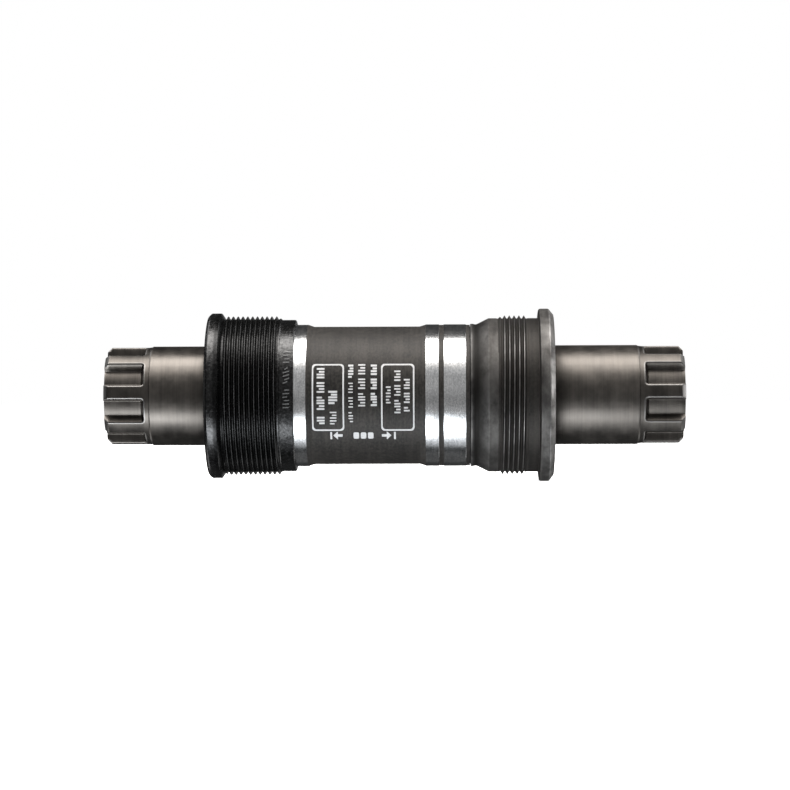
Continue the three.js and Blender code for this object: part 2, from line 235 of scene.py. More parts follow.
class Look:
    """A node material in the piece's own coordinates. Constant values go on the shader itself."""

    def __init__(self, name, **values):
        self.material = bpy.data.materials.new(name)
        self.material.use_nodes = True
        self.tree = self.material.node_tree
        self.shader = self.tree.nodes["Principled BSDF"]
        for key, value in values.items():
            self.shader.inputs[key.replace("_", " ")].default_value = value
        self.place = self.node("TexCoord").outputs["Object"]

    def node(self, kind, inputs=(), **settings):
        made = self.tree.nodes.new("ShaderNode" + kind)
        for key, value in settings.items():
            setattr(made, key, value)
        for key, value in dict(inputs).items():
            if isinstance(value, bpy.types.NodeSocket):
                self.tree.links.new(value, made.inputs[key])
            else:
                made.inputs[key].default_value = value
        return made

    def noise(self, along, around, detail=2.0, rough=0.5):
        """Noise with so many features per metre along the axis and around it."""
        where = self.node("Mapping", {"Vector": self.place, "Scale": (along, around, around)})
        inputs = {"Vector": where.outputs[0], "Scale": 1.0, "Detail": detail, "Roughness": rough}
        return self.node("TexNoise", inputs).outputs["Fac"]

    def map(self, value, low, high, to_low=0.0, to_high=1.0):
        """The value, with the range from low to high stretched onto another one and clipped."""
        inputs = {0: value, 1: low, 2: high, 3: to_low, 4: to_high}
        return self.node("MapRange", inputs, clamp=True).outputs[0]

    def math(self, operation, a, b=0.0):
        return self.node("Math", {0: a, 1: b}, operation=operation).outputs[0]

    def mean(self, a, b, share):
        """A weighted mean of two values, with this share of b."""
        rest = self.math("MULTIPLY", a, 1 - share)
        return self.math("ADD", rest, self.math("MULTIPLY", b, share))

    def along(self, start, end, to_low=0.0, to_high=1.0):
        """A value that goes from to_low to to_high between two x in millimetres."""
        x = self.node("SeparateXYZ", {0: self.place}).outputs[0]
        return self.map(x, start * MM, end * MM, to_low, to_high)

    def wear_and_highlight(self):
        """How rubbed the surface is, with its painted highlights, from 0 to 1, as its mesh says."""
        return self.node("Attribute", attribute_name="wear_and_highlight").outputs["Fac"]

    def ramp(self, value, *stops):
        """A colour picked by the value from (place, colour) stops."""
        made = self.node("ValToRGB", {0: value})
        points = made.color_ramp.elements
        while len(points) < len(stops):
            points.new(0.5)
        for point, (place, colour) in zip(points, stops):
            point.position = place
            point.color = (*colour, 1)
        return made.outputs[0]

    def blend(self, factor, a, b):
        """The colour a where the factor is 0, and b where it is 1."""
        made = self.node("Mix", {0: factor}, data_type="RGBA")
        for socket, value in ((made.inputs[6], a), (made.inputs[7], b)):
            if isinstance(value, bpy.types.NodeSocket):
                self.tree.links.new(value, socket)
            else:
                socket.default_value = (*value, 1)
        return made.outputs[2]

    def bump(self, height, distance, strength=1.0, onto=None):
        """A normal for relief this many millimetres high, on top of another normal."""
        inputs = {"Height": height, "Distance": distance * MM, "Strength": strength}
        if onto is not None:
            inputs["Normal"] = onto
        return self.node("Bump", inputs).outputs[0]

    def set(self, **links):
        """The material, with these inputs of its shader linked."""
        for key, value in links.items():
            self.tree.links.new(value, self.shader.inputs[key.replace("_", " ")])
        return self.material


def grey(value, warmth=0.0):
    """A linear colour, warm above zero and cool below."""
    return (value * (1 + warmth), value, value * (1 - warmth))


def ground_steel():
    """Bright steel with the fine marks of the grinding wheel round it."""
    look = Look("ground_steel", Metallic=1.0)
    streaks = look.noise(3800, 260, 3, 0.6)
    patches = look.noise(520, 420, 4, 0.6)
    grain = look.noise(3600, 2400, 3, 0.6)
    shade = look.mean(look.mean(streaks, patches, 0.5), grain, 0.5)
    colour = look.ramp(shade, (0.40, grey(0.58, -0.01)), (0.60, grey(0.86)))
    rough = look.map(shade, 0.38, 0.62, 0.15, 0.21)
    normal = look.bump(grain, 0.0024)
    normal = look.bump(streaks, 0.0010, onto=normal)
    return look.set(Base_Color=colour, Roughness=rough, Normal=normal)


def phosphated_steel():
    """Warm grey conversion coat on a drawn tube: matt, with grain and faint turning marks."""
    look = Look("phosphated_steel", Metallic=0.6)
    clouds = look.noise(110, 80, 4, 0.6)
    grain = look.noise(2400, 1500, 3, 0.6)
    turning = look.noise(1700, 60, 3, 0.6)
    shade = look.mean(look.mean(clouds, turning, 0.5), grain, 0.5)
    colour = look.ramp(shade, (0.41, grey(0.008, 0.11)), (0.59, grey(0.027, 0.12)))
    rough = look.map(grain, 0.3, 0.7, 0.50, 0.62)
    normal = look.bump(grain, 0.026)
    normal = look.bump(turning, 0.012, onto=normal)
    return look.set(Base_Color=colour, Roughness=rough, Normal=normal)


CONE_END = 20.4  # x where the fixed cup's cone meets its plain part


def cup_steel():
    """Turned steel under a dark coat, with painted shade on its cone and painted highlights with
    rubbing on its edges.
    """
    look = Look("cup_steel", Metallic=0.85)
    clouds = look.noise(260, 170, 4, 0.65)
    grain = look.noise(2200, 2000, 3)
    turning = look.noise(2600, 35, 3, 0.65)
    shade = look.mean(look.mean(clouds, turning, 0.55), grain, 0.3)
    colour = look.ramp(shade, (0.37, grey(0.012, 0.09)), (0.63, grey(0.029, 0.10)))
    # painted shade: the cone gets a darker colour for how its slope meets the light
    cone = look.ramp(shade, (0.33, grey(0.004, 0.10)), (0.67, grey(0.009, 0.11)))
    colour = look.blend(look.along(CONE_END - 0.2, CONE_END + 0.2), cone, colour)
    # the mesh's rubbed places, painted highlights among them, lighten the colour
    wear_and_highlight = look.math("MULTIPLY", look.wear_and_highlight(), look.map(clouds, 0.35, 0.6, 0.25, 1.0))
    colour = look.blend(wear_and_highlight, colour, grey(0.29, 0.03))
    rough = look.map(shade, 0.38, 0.62, 0.52, 0.62)
    rough = look.math("SUBTRACT", rough, look.math("MULTIPLY", wear_and_highlight, 0.25))
    normal = look.bump(grain, 0.010)
    normal = look.bump(turning, 0.009, onto=normal)
    return look.set(Base_Color=colour, Roughness=rough, Normal=normal)


def spindle_steel(name, low, high):
    """Ground and browned steel: streaks round the shaft, soft mottling, and rubbed edges with
    painted highlights.
    """
    look = Look(name, Metallic=1.0)
    streaks = look.noise(2300, 60, 4, 0.7)
    blotches = look.noise(330, 240, 4, 0.6)
    shade = look.mean(streaks, blotches, 0.6)
    colour = look.ramp(shade, (0.36, grey(low, 0.09)), (0.64, grey(high, 0.10)))
    # painted highlight with rubbing on the teeth's edges and tips
    colour = look.blend(look.wear_and_highlight(), colour, grey(0.3, 0.02))
    rough = look.map(blotches, 0.38, 0.62, 0.30, 0.37)
    rough = look.math("ADD", rough, look.along(-30, 30, 0.0, 0.06))
    grain = look.noise(2600, 1800, 2)
    normal = look.bump(streaks, 0.0009)
    normal = look.bump(blotches, 0.0025, onto=normal)
    normal = look.bump(grain, 0.0025, onto=normal)
    return look.set(Base_Color=colour, Roughness=rough, Normal=normal)


# The adapter is dull from its flange to its thread's end. Each pair is the x where the resin still
# shines and the x where it is dull.
DULL_START = (-38.9, -38.5)
DULL_END = (-24.8, -25.1)


def adapter_resin(name, low):
    """Glass-filled black resin with a speckled skin, dull and scuffed along the thread, where its
    crests carry painted highlights.
    """
    look = Look(name, IOR=1.45)
    speckle = look.noise(1700, 1700, 3, 0.65)
    clouds = look.noise(160, 160, 3)
    scuffs = look.map(look.noise(500, 130, 3), 0.4, 0.62, 0.55, 1.0)
    # painted highlight with scuffs along the thread's crests
    colour = look.blend(look.math("MULTIPLY", look.wear_and_highlight(), scuffs), grey(low), grey(0.045))
    rough = look.map(look.mean(speckle, clouds, 0.35), 0.40, 0.60, 0.17, 0.30)
    dull = look.math("MULTIPLY", look.along(*DULL_START), look.along(*DULL_END))
    normal = look.bump(speckle, 0.042, look.map(dull, 0, 1, 1.0, 0.06))
    sheen = look.map(speckle, 0.38, 0.62, 0.30, 0.66)
    sheen = look.math("MULTIPLY", sheen, look.map(dull, 0, 1, 1.0, 0.4))
    return look.set(Base_Color=colour, Roughness=rough, Normal=normal, Specular_IOR_Level=sheen)


def laser_mark():
    """Pale print of close dots."""
    look = Look("laser_mark", Metallic=0.0)
    dots = look.noise(5200, 5200, 2)
    colour = look.ramp(dots, (0.3, grey(0.40, 0.01)), (0.7, grey(0.56)))
    rough = look.map(dots, 0.3, 0.7, 0.5, 0.7)
    return look.set(Base_Color=colour, Roughness=rough)


def polished_steel(name, level, roughness, streaks_per_metre):
    """Bare steel with fine streaks round it, for the parts inside."""
    look = Look(name, Metallic=1.0)
    streaks = look.noise(streaks_per_metre, 40, 2)
    streaks = look.mean(streaks, look.noise(400, 900, 4, 0.6), 0.5)
    colour = look.ramp(streaks, (0.36, grey(level * 0.72)), (0.64, grey(level)))
    rough = look.map(streaks, 0.3, 0.7, roughness * 0.8, roughness * 1.2)
    return look.set(Base_Color=colour, Roughness=rough, Normal=look.bump(streaks, 0.002))


def moulded(name, low, high, roughness, bump):
    """Plastic or rubber with soft clouds between two colours."""
    look = Look(name)
    clouds = look.noise(500, 500, 4, 0.6)
    speckle = look.noise(3000, 3000, 2)
    colour = look.ramp(clouds, (0.3, low), (0.7, high))
    rough = look.map(speckle, 0.3, 0.7, roughness * 0.85, roughness * 1.15)
    return look.set(Base_Color=colour, Roughness=rough, Normal=look.bump(speckle, bump))


GROUND = ground_steel()
TUBE = phosphated_steel()
CUP = cup_steel()
SHAFT = spindle_steel("spindle_shaft_steel", 0.062, 0.092)
SPLINES = spindle_steel("spindle_spline_steel", 0.045, 0.075)
RESIN = adapter_resin("adapter_resin", 0.0012)
# painted highlight: lighter resin for the raised strokes on the nose
PAINTED_HIGHLIGHT_RESIN = adapter_resin("painted_highlight_resin", 0.08)
MARK = laser_mark()
RACE_STEEL = polished_steel("race_steel", 0.62, 0.18, 4200)
BALL_STEEL = polished_steel("ball_steel", 0.72, 0.06, 900)
SEAL_STEEL = polished_steel("seal_steel", 0.30, 0.36, 1800)
NYLON = moulded("cage_nylon", (0.50, 0.42, 0.25), (0.62, 0.53, 0.34), 0.5, 0.01)
RUBBER = moulded("seal_rubber", (0.010, 0.010, 0.011), (0.02, 0.02, 0.021), 0.7, 0.012)

# ---------------------------------------------------------------- spindle
SHAFT_RADIUS = 10.85
SPLINE_TEETH = 8
SPLINE_PITCH = TURN / SPLINE_TEETH
SPLINE_TURN = -4.3 * DEG
SPLINE_START = 53.5  # x where the splined part begins, behind its relief
SPLINE_RADIUS = 10.6
GROOVE_HALF = 3.0  # half a groove's width at the outside, measured round the spindle
GROOVE_START = 54.0  # x where the grooves begin
GROOVE_CORNER = 0.9
TIP = 63.0
# The groove's side: (distance in from its edge, depth), from a rounded edge to a filleted root.
GROOVE_SIDE = (
    (-0.12, 0.0),
    (0.0, 0.0),
    (0.13, 0.019),
    (0.25, 0.076),
    (0.35, 0.167),
    (0.428, 0.311),
    (0.60, 0.84),
    (0.77, 1.36),
    (0.932, 1.862),
    (0.985, 1.945),
    (1.05, 1.988),
    (1.122, 2.0),
    (1.3, 2.0),
)


def spline_angles():
    """Columns that follow both sides of every groove, with a few on its floor and on the teeth."""
    near = [round(GROOVE_HALF - distance, 4) for distance, _ in GROOVE_SIDE]
    half = sorted({0.0, 0.85, 3.45, 3.8, *near})
    offsets = [v / SPLINE_RADIUS for v in half]
    offsets = [-v for v in reversed(offsets[1:])] + offsets + [SPLINE_PITCH / 2]
    first = SPLINE_TURN + SPLINE_PITCH / 2
    angles = sorted(first + SPLINE_PITCH * k + v for k in range(SPLINE_TEETH) for v in offsets)
    return np.array([*angles, angles[0] + TURN])


SPLINE_COLUMNS = spline_angles()


def groove_inset(x, angles):
    """How far inside a groove's edge a point of the spline lands lies; below 0 on a tooth."""
    from_groove = (angles - SPLINE_TURN) % SPLINE_PITCH - SPLINE_PITCH / 2
    across = np.abs(from_groove) * SPLINE_RADIUS - (GROOVE_HALF - GROOVE_CORNER)
    ahead = GROOVE_CORNER - (x - GROOVE_START)
    outside = np.hypot(np.maximum(across, 0), np.maximum(ahead, 0))
    return GROOVE_CORNER - outside - np.minimum(np.maximum(across, ahead), 0)


def groove_depth(x, angles):
    """How deep the grooves are cut at a place on the spline."""
    distances, depths = zip(*GROOVE_SIDE)
    return np.interp(groove_inset(x, angles), distances, depths)


# How bright rubbed places and painted highlights are. 1 is the full effect, and above 1 it only
# reaches further.
TOOTH_WEAR_AND_HIGHLIGHT = 0.3
TIP_WEAR_AND_HIGHLIGHT = 0.6
CHAMFER_WEAR_AND_HIGHLIGHT = 1.2
EDGE_HIGHLIGHT = 0.25
LIP_WEAR_AND_HIGHLIGHT = 0.4
LAND_HIGHLIGHT = 0.16
CREST_WEAR_AND_HIGHLIGHT = (0.12, 0.88)  # painted highlight with rubbing everywhere along a crest, and what the front and back have on top


def spline_wear_and_highlight(x, r, angles):
    """Bright where the teeth's edges and tips are rubbed and carry a painted highlight, else 0."""
    side = np.abs(x)
    inset = groove_inset(side, angles)
    edge = smooth((inset + 0.05) / 0.08) * smooth((0.36 - inset) / 0.12)
    depth = groove_depth(side, angles)
    tip = smooth((side - TIP + 1.0) / 0.3) * smooth((0.5 - depth) / 0.3)
    outside = (r > 8.4) & (side > SPLINE_START + 0.3)
    # painted highlight with rubbing along the teeth's edges and tips
    return np.where(outside, np.maximum(TOOTH_WEAR_AND_HIGHLIGHT * edge, TIP_WEAR_AND_HIGHLIGHT * tip), 0)


def crest_wear_and_highlight(x, r, angles):
    """Bright along the crests of a cup's thread, a painted highlight with rubbing, most of all at
    its front and back.
    """
    # painted highlight, strongest at the front and back of the thread
    around = CREST_WEAR_AND_HIGHLIGHT[0] + CREST_WEAR_AND_HIGHLIGHT[1] * np.sin(angles) ** 2
    between_flanges = (x > ADAPTER_THREAD[0]) & (x < CUP_THREAD[1])
    return around * smooth((r - CUP_CREST + 0.07) / 0.04) * between_flanges


def cup_wear_and_highlight(x, r, angles):
    """Painted highlights on the crests, on the flange's chamfer and along the cone's edges, with
    rubbing on the crests and the chamfer.
    """
    chamfer = smooth((x - 33.3) / 0.4) * smooth((r - 17.0) / 0.5)
    edges = peak(x, 20.45, 0.16) + peak(x, 31.75, 0.2) * (r > 18.5)
    lip = peak(x, 16.75, 0.25) * (r > 15.3)
    land = (x > 20.6) & (x < 22.45)
    # painted highlights on the edges, lip and land; rubbing with them on the chamfer
    turned = CHAMFER_WEAR_AND_HIGHLIGHT * chamfer + EDGE_HIGHLIGHT * edges + LIP_WEAR_AND_HIGHLIGHT * lip + LAND_HIGHLIGHT * land
    return np.clip(crest_wear_and_highlight(x, r, angles) + turned, 0, 1)


def spindle_end(side):
    """Rows of one end, from the plain shaft to the rim of the bolt's entry."""
    rows = rounded([
        (side * 52.5, SHAFT_RADIUS, 0, 0),
        (side * 52.9, SHAFT_RADIUS, 0.12, 1),
        (side * 53.25, 10.66, 0.12, 1),
        (side * SPLINE_START, 10.66, 0, 1),
    ])
    # The lands come down to their radius over 2 mm, and end in a chamfer with rounded edges.
    steps = [GROOVE_START + distance for distance, _ in GROOVE_SIDE] + [56.5, 58.5, 60.5, 61.7]
    outline = [(x, SPLINE_RADIUS + 0.02 * max(0, 1 - (x - SPLINE_START) / 2)) for x in steps]
    outline += [(61.92, SPLINE_RADIUS), (62.05, 10.57), (62.16, 10.49), (62.8, 9.87)]
    outline += [(62.9, 9.75), (62.97, 9.6), (TIP, 9.45)]
    for x, radius in outline:
        floor = SPLINE_RADIUS - groove_depth(x, SPLINE_COLUMNS)
        eased = floor - 0.4 * max(0, x - TIP + 0.3)
        rows.append((side * x, np.minimum(radius, eased), 1))
    rows.append((side * TIP, 8.32, 1))
    return rows


def bolt_hole(side):
    """Rows of a bolt hole, from its rim to the wide bore between the holes."""
    span = BOLT_THREAD if side > 0 else (-BOLT_THREAD[1], -BOLT_THREAD[0])
    phase = 52.9 if side > 0 else -60.9
    thread = thread_rows(
        SPLINE_COLUMNS, span, BOLT_CREST, BOLT_ROOT, BOLT_PITCH, BOLT_PROFILE, phase, 1,
        (0.4, 0.4), 2,
    )
    if side > 0:
        thread.reverse()
    return [
        *rounded([
            (side * 62.98, 8.3, 0, 1),
            (side * 62.6, 7.9, 0.1, 1),
            (side * 61.6, 7.9, 0.1, 1),
            (side * 61.05, BOLT_CREST, 0.05, 2),
            (side * BOLT_THREAD[1], BOLT_CREST, 0, 2),
        ]),
        *thread,
        (side * 52.6, 7.3, 2),
        (side * 51.8, 7.6, 2),
    ]


def raceway(x, left, right):
    """The groove of one row of balls in the spindle, between lands of two radii."""
    radius = 1.68
    left, right = (math.acos((BALL_CIRCLE - land) / radius) / DEG for land in (left, right))
    points = arc((x, BALL_CIRCLE), radius, 180 + left, 180 - right, 10)
    return [(px, pr, 0) for px, pr, _, _ in points]


def make_spindle():
    """The spindle, with its outside from left to right and then its bore."""
    rows = [
        *reversed(spindle_end(-1)),
        *raceway(ROWS["left"], SHAFT_RADIUS, 11.5),
        *raceway(ROWS["right_inner"], 11.5, 11.2),
        *raceway(ROWS["right_outer"], 11.2, SHAFT_RADIUS),
        *spindle_end(1),
        *bolt_hole(1),
        *reversed(bolt_hole(-1)),
    ]
    return ring("spindle_body", rows, (SHAFT, SPLINES, SHAFT), SPLINE_COLUMNS, spline_wear_and_highlight)


# ---------------------------------------------------------------- cartridge shell and cups
TUBE_RADIUS = 15.07
NOSE_RADIUS = 16.6  # of the adapter, past its thread
ADAPTER_BORE = 15.6
CUP_BORE = 15.1
CUP_PLAIN = 16.82  # radius of the fixed cup on both sides of its thread
NOTCHES = 20
NOTCH_PITCH = 360 / NOTCHES  # degrees, like the next two
NOTCH_HALF = 4.15
NOTCH_COLUMNS = (-6.6, -4.3, -4.0, -2.1, 0.0, 2.1, 4.0, 4.3, 6.6, 9.0)
SOCKET_BORE = 14.5  # radius between the notches, in millimetres
NOTCH_FLOOR = 15.45


def socket_angles():
    """Columns that follow both sides of every notch of a tool socket."""
    angles = sorted(NOTCH_PITCH * k + v for k in range(NOTCHES) for v in NOTCH_COLUMNS)
    return np.array([*angles, angles[0] + 360]) * DEG


SOCKET_COLUMNS = socket_angles()


def socket_rows(shoulder, face, bore):
    """Rows of a tool socket, from the cup's outer face to its bore behind the shoulder."""
    out = math.copysign(1, face)
    from_notch = (SOCKET_COLUMNS / DEG + NOTCH_PITCH / 2) % NOTCH_PITCH - NOTCH_PITCH / 2
    inside = np.abs(from_notch) < NOTCH_HALF

    def row(x, land, notch):
        return (x, np.where(inside, notch, land), 0)

    return [
        row(face, 14.98, 15.72),
        row(face - out * 0.12, 14.84, 15.58),
        row(face - out * 0.38, 14.58, 15.46),
        row(face - out * 0.5, SOCKET_BORE, NOTCH_FLOOR),
        row(shoulder + out * 0.75, SOCKET_BORE, NOTCH_FLOOR),
        row(shoulder + out * 0.63, SOCKET_BORE, 15.38),
        row(shoulder + out * 0.6, SOCKET_BORE, 15.25),
        (shoulder + out * 0.6, SOCKET_BORE, 0),
        (shoulder + out * 0.15, SOCKET_BORE, 0),
        (shoulder, 14.62, 0),
        (shoulder, bore - 0.1, 0),
        (shoulder - out * 0.1, bore, 0),
    ]


def make_adapter():
    """The moulded cup on the left, from the rim of its socket round its outside to its nose."""
    low, high, flange = ends("left_adapter_cup")
    outer = [
        *rounded([
            (low, 15.9, 0, 0),
            (low, flange - 0.7, 0.35, 0),
            (low + 0.7, flange, 0.4, 0),
            (-37.9, flange, 0.25, 0),
            (-37.25, 17.1, 0.3, 0),
            (-37.15, CUP_ROOT, 0.1, 0),
            (ADAPTER_THREAD[0], CUP_ROOT, 0, 0),
        ]),
        *thread_rows(
            SOCKET_COLUMNS, ADAPTER_THREAD, CUP_ROOT, CUP_CREST, CUP_PITCH, CUP_PROFILE,
            -36.99, 1, (0.2, 0.5),
        ),
        *rounded([
            (ADAPTER_THREAD[1], CUP_ROOT, 0, 0),
            (-24.55, NOSE_RADIUS, 0.1, 0),
            (high, NOSE_RADIUS, 0.35, 0),
            (high, ADAPTER_BORE, 0.15, 0),
            (-22.5, ADAPTER_BORE, 0, 0),
        ]),
    ]
    rows = [*outer, *reversed(socket_rows(-34.0, low, ADAPTER_BORE))]
    return ring("left_adapter_body", rows, (RESIN,), SOCKET_COLUMNS, crest_wear_and_highlight)


def make_cup():
    """The fixed cup on the right: a lip, a cone, the thread and the flange."""
    low, high, flange = ends("right_fixed_cup")
    outer = [
        *rounded([
            (18.0, CUP_BORE, 0, 0),
            (low, CUP_BORE, 0.1, 0),
            (low, 15.62, 0.15, 0),
            (low + 0.55, 15.62, 0.25, 0),
            (low + 1.15, 15.47, 0.8, 0),
            (18.0, 15.56, 1.2, 0),
            (20.5, CUP_PLAIN, 0.35, 0),
            (22.25, CUP_PLAIN, 0.1, 0),
            (CUP_THREAD[0], CUP_ROOT, 0, 0),
        ]),
        *thread_rows(
            SOCKET_COLUMNS, CUP_THREAD, CUP_ROOT, CUP_CREST, CUP_PITCH, CUP_PROFILE,
            22.45, -1, (1.1, 0.7),
        ),
        *rounded([
            (CUP_THREAD[1], CUP_ROOT, 0, 0),
            (29.05, CUP_PLAIN, 0.05, 0),
            (31.4, CUP_PLAIN, 0.2, 0),
            (31.4, flange, 0.45, 0),
            (33.6, flange, 0.35, 0),
            (high, 17.6, 0.3, 0),
            (high, 15.9, 0, 0),
        ]),
    ]
    rows = [*outer, *socket_rows(28.0, high, CUP_BORE)]
    return ring("right_cup_body", rows, (CUP,), SOCKET_COLUMNS, cup_wear_and_highlight)


def make_shell():
    """The cartridge's tube with its ground lands, and the shoulders for the races in its bore."""
    low, high, land = ends("cartridge_shell")
    bore, ring_floor = 14.45, 15.41
    rows = rounded([
        (-30.0, bore, 0, 0),
        (low, bore, 0.1, 0),
        (low, land, 0.35, 1),
        (-18.95, land, 0.2, 0),
        (-17.6, TUBE_RADIUS, 0.8, 0),
        (5.5, TUBE_RADIUS, 0.8, 0),
        (6.72, 15.46, 0.3, 0),
        (6.8, land, 0.05, 1),
        (9.65, land, 0.04, 0),
        (9.75, ring_floor, 0.04, 0),
        (10.65, ring_floor, 0.04, 0),
        (10.75, land, 0.04, 1),
        (15.5, land, 0.04, 0),
        (15.6, ring_floor, 0.04, 0),
        (16.4, ring_floor, 0.06, 0),
        (16.4, 15.05, 0.06, 0),
        (high, 15.05, 0.3, 0),
        (high, bore, 0.1, 0),
        (9.1, bore, 0.2, 0),
        (9.1, 13.6, 0.2, 0),
        (-23.3, 13.6, 0.2, 0),
        (-23.3, bore, 0, 0),
    ])
    return ring("cartridge_tube", rows, (TUBE, GROUND))


# ---------------------------------------------------------------- laser marks and raised strokes
# A skin is the radius of a round surface, and how far the strokes on it stand out.
TUBE_SKIN = (TUBE_RADIUS, 0.02)
NOSE_SKIN = (NOSE_RADIUS, 0.13)
SUNK = -0.03  # how far the closed strokes reach under the surface
RUNG_STEP = 0.9  # longest stretch of a stroke that stays flat


def rounded_box(x0, x1, top, bottom, radius, steps=5):
    """Outline of a box with rounded corners, as (x, height) points."""
    corners = ((x1, top, 0), (x0, top, 90), (x0, bottom, 180), (x1, bottom, 270))
    points = []
    for x, height, angle in corners:
        cx = x + math.copysign(radius, (x0 + x1) / 2 - x)
        cy = height + math.copysign(radius, (top + bottom) / 2 - height)
        for k in range(steps + 1):
            turn = (angle + 90 * k / steps) * DEG
            points.append((cx + radius * math.cos(turn), cy + radius * math.sin(turn)))
    return points


def on_skin(x, height, skin, lift):
    """A point at the front of a round surface, at this height over the axis, lifted off it."""
    angle = math.asin(height / skin[0])
    radius = skin[0] + lift
    return Vector((x, -radius * math.cos(angle), radius * math.sin(angle))) * MM


def subdivided(points):
    """The closed outline with its long sides cut, so that it can follow the tube."""
    out = []
    for i, (x, height) in enumerate(points):
        nx, nh = points[(i + 1) % len(points)]
        cuts = max(1, math.ceil(abs(nh - height) / RUNG_STEP))
        out += [(x + (nx - x) * k / cuts, height + (nh - height) * k / cuts) for k in range(cuts)]
    return out


def add_frame(edit, outer, inner):
    """A closed loop of mark between two outlines of equally many points."""
    loops = []
    for outline in (outer, inner):
        for lift in (TUBE_SKIN[1], SUNK):
            spots = [on_skin(x, h, TUBE_SKIN, lift) for x, h in outline]
            loops.append([edit.verts.new(spot) for spot in spots])
    top_out, low_out, top_in, low_in = loops
    count = len(outer)
    for i in range(count):
        j = (i + 1) % count
        for a, b in ((top_in, top_out), (top_out, low_out), (low_out, low_in), (low_in, top_in)):
            edit.faces.new((a[i], b[i], b[j], a[j]))


def add_bar(edit, x0, x1, top, bottom, radius):
    """A plain bar with rounded corners, built from rungs across its longer side."""
    outline = rounded_box(x0, x1, top, bottom, radius)
    add_rungs(edit, outline, top - bottom > x1 - x0)


def add_rungs(edit, outline, vertical, step=RUNG_STEP, skin=TUBE_SKIN):
    """Fills a convex outline with quads that run across it, so that it can follow the skin.

    The rungs lie at levels of height where vertical is true, and at levels of x where it isn't.
    """
    corners = [point[1] if vertical else point[0] for point in outline]
    low, high = min(corners), max(corners)
    cuts = max(2, math.ceil((high - low) / step))
    levels = [low + (high - low) * k / cuts for k in range(cuts + 1)]
    rungs = []
    for level in sorted({round(v, 4) for v in (*levels, *corners)}):
        hits = crossings(outline, level, vertical)
        spots = [(hit, level) if vertical else (level, hit) for hit in (min(hits), max(hits))]
        rung = []
        for lift in (skin[1], SUNK):
            rung += [edit.verts.new(on_skin(x, h, skin, lift)) for x, h in spots]
        rungs.append(rung)
    for near, far in zip(rungs, rungs[1:]):
        for a, b in ((0, 1), (1, 3), (3, 2), (2, 0)):
            edit.faces.new((near[a], near[b], far[b], far[a]))
    for rung in (rungs[0], rungs[-1]):
        edit.faces.new((rung[0], rung[1], rung[3], rung[2]))


def crossings(outline, value, vertical):
    """Where a line at this height, or at this x, crosses the outline."""
    hits = []
    for i, point in enumerate(outline):
        after = outline[(i + 1) % len(outline)]
        a, b = (point[1], after[1]) if vertical else (point[0], after[0])
        pa, pb = (point[0], after[0]) if vertical else (point[1], after[1])
        if min(a, b) - 1e-4 <= value <= max(a, b) + 1e-4:
            t = 0.5 if abs(b - a) < 1e-9 else min(1, max(0, (value - a) / (b - a)))
            hits += [pa, pb] if abs(b - a) < 1e-9 else [pa + (pb - pa) * t]
    return hits


ARROW_NECK = 0.95  # from an arrow's tip to the back of its head
ARROW_HALF = 0.8  # half the head's width
ARROW_SHAFT = 0.26  # half the shaft's width
ARROW_BACK = 0.1  # how thick the head's back corners are


def add_arrow(edit, tip, tail, height):
    """A plain arrow along the axis: a shaft and a head."""
    back = math.copysign(1, tail - tip)
    neck = tip + back * ARROW_NECK
    shoulder = neck - back * ARROW_BACK
    ends_at = sorted((shoulder, tail))
    add_bar(edit, *ends_at, height + ARROW_SHAFT, height - ARROW_SHAFT, 0.05)
    half = ((tip, 0.05), (shoulder, ARROW_HALF), (neck, ARROW_HALF))
    head = [*half, *((x, -rise) for x, rise in reversed(half))]
    add_rungs(edit, [(x, height + rise) for x, rise in head], True, 0.3)


# Rows of plain strokes that stand for small print: (left x, right x, top, bottom, weight).
PRINT_ROWS = (
    (-16.5, -14.85, 5.9, -6.4, 0.37),
    (-14.0, -12.1, 1.0, -2.0, 0.42),
    (-13.7, -12.3, -3.5, -6.5, 0.27),
    (-9.75, -8.65, 6.6, 3.6, 0.40),
    (-9.7, -8.75, 2.7, -6.1, 0.25),
    (-7.6, -6.1, 6.7, -3.9, 0.32),
    (-4.9, -3.6, 6.6, -3.7, 0.42),
    (-1.65, -0.65, 1.9, -2.1, 0.31),
    (0.15, 1.45, 5.3, -5.4, 0.33),
    (2.2, 3.45, 3.5, -3.7, 0.33),
)
STROKE_PITCH = 0.62
STROKE_SHIFTS = (0.0, 0.06, -0.05, 0.02, 0.08, -0.07, 0.0)
STROKE_GAPS = (4, 9, 15, 16)  # strokes left out of a row, which part it into words
FRAMES = ((-17.55, -10.65), (-2.7, 4.45))  # the left and right x of each frame
FRAME_TOP, FRAME_BOTTOM = 6.75, -7.6
FRAME_LINE = 0.31  # how wide a frame's line is
BLOCKS = (-8.7, -7.15, -5.6)  # the left x of each block under the print
STOPS = (-13.7, 0.0)  # the left x of the short line at each arrow's tip
ARROWS = ((-13.0, -11.05), (-0.6, -2.6))  # tip and tail
ARROW_HEIGHT = -8.6

NOSE_STROKES = 17
NOSE_GAPS = (4, 10)  # strokes left out
NOSE_SPAN = (-23.7, -22.3)  # the left and right x of a full stroke
NOSE_TOP = 9.4  # height of the first stroke over the axis
NOSE_PITCH = 0.74
NOSE_WEIGHT = 0.26


def closed_piece(name, edit, look, merge=1e-7):
    """The finished piece of an edit that holds closed solids."""
    bmesh.ops.remove_doubles(edit, verts=edit.verts, dist=merge)
    bmesh.ops.recalc_face_normals(edit, faces=edit.faces)
    mesh = bpy.data.meshes.new(name)
    edit.to_mesh(mesh)
    edit.free()
    return finish_mesh(name, mesh, (look,))


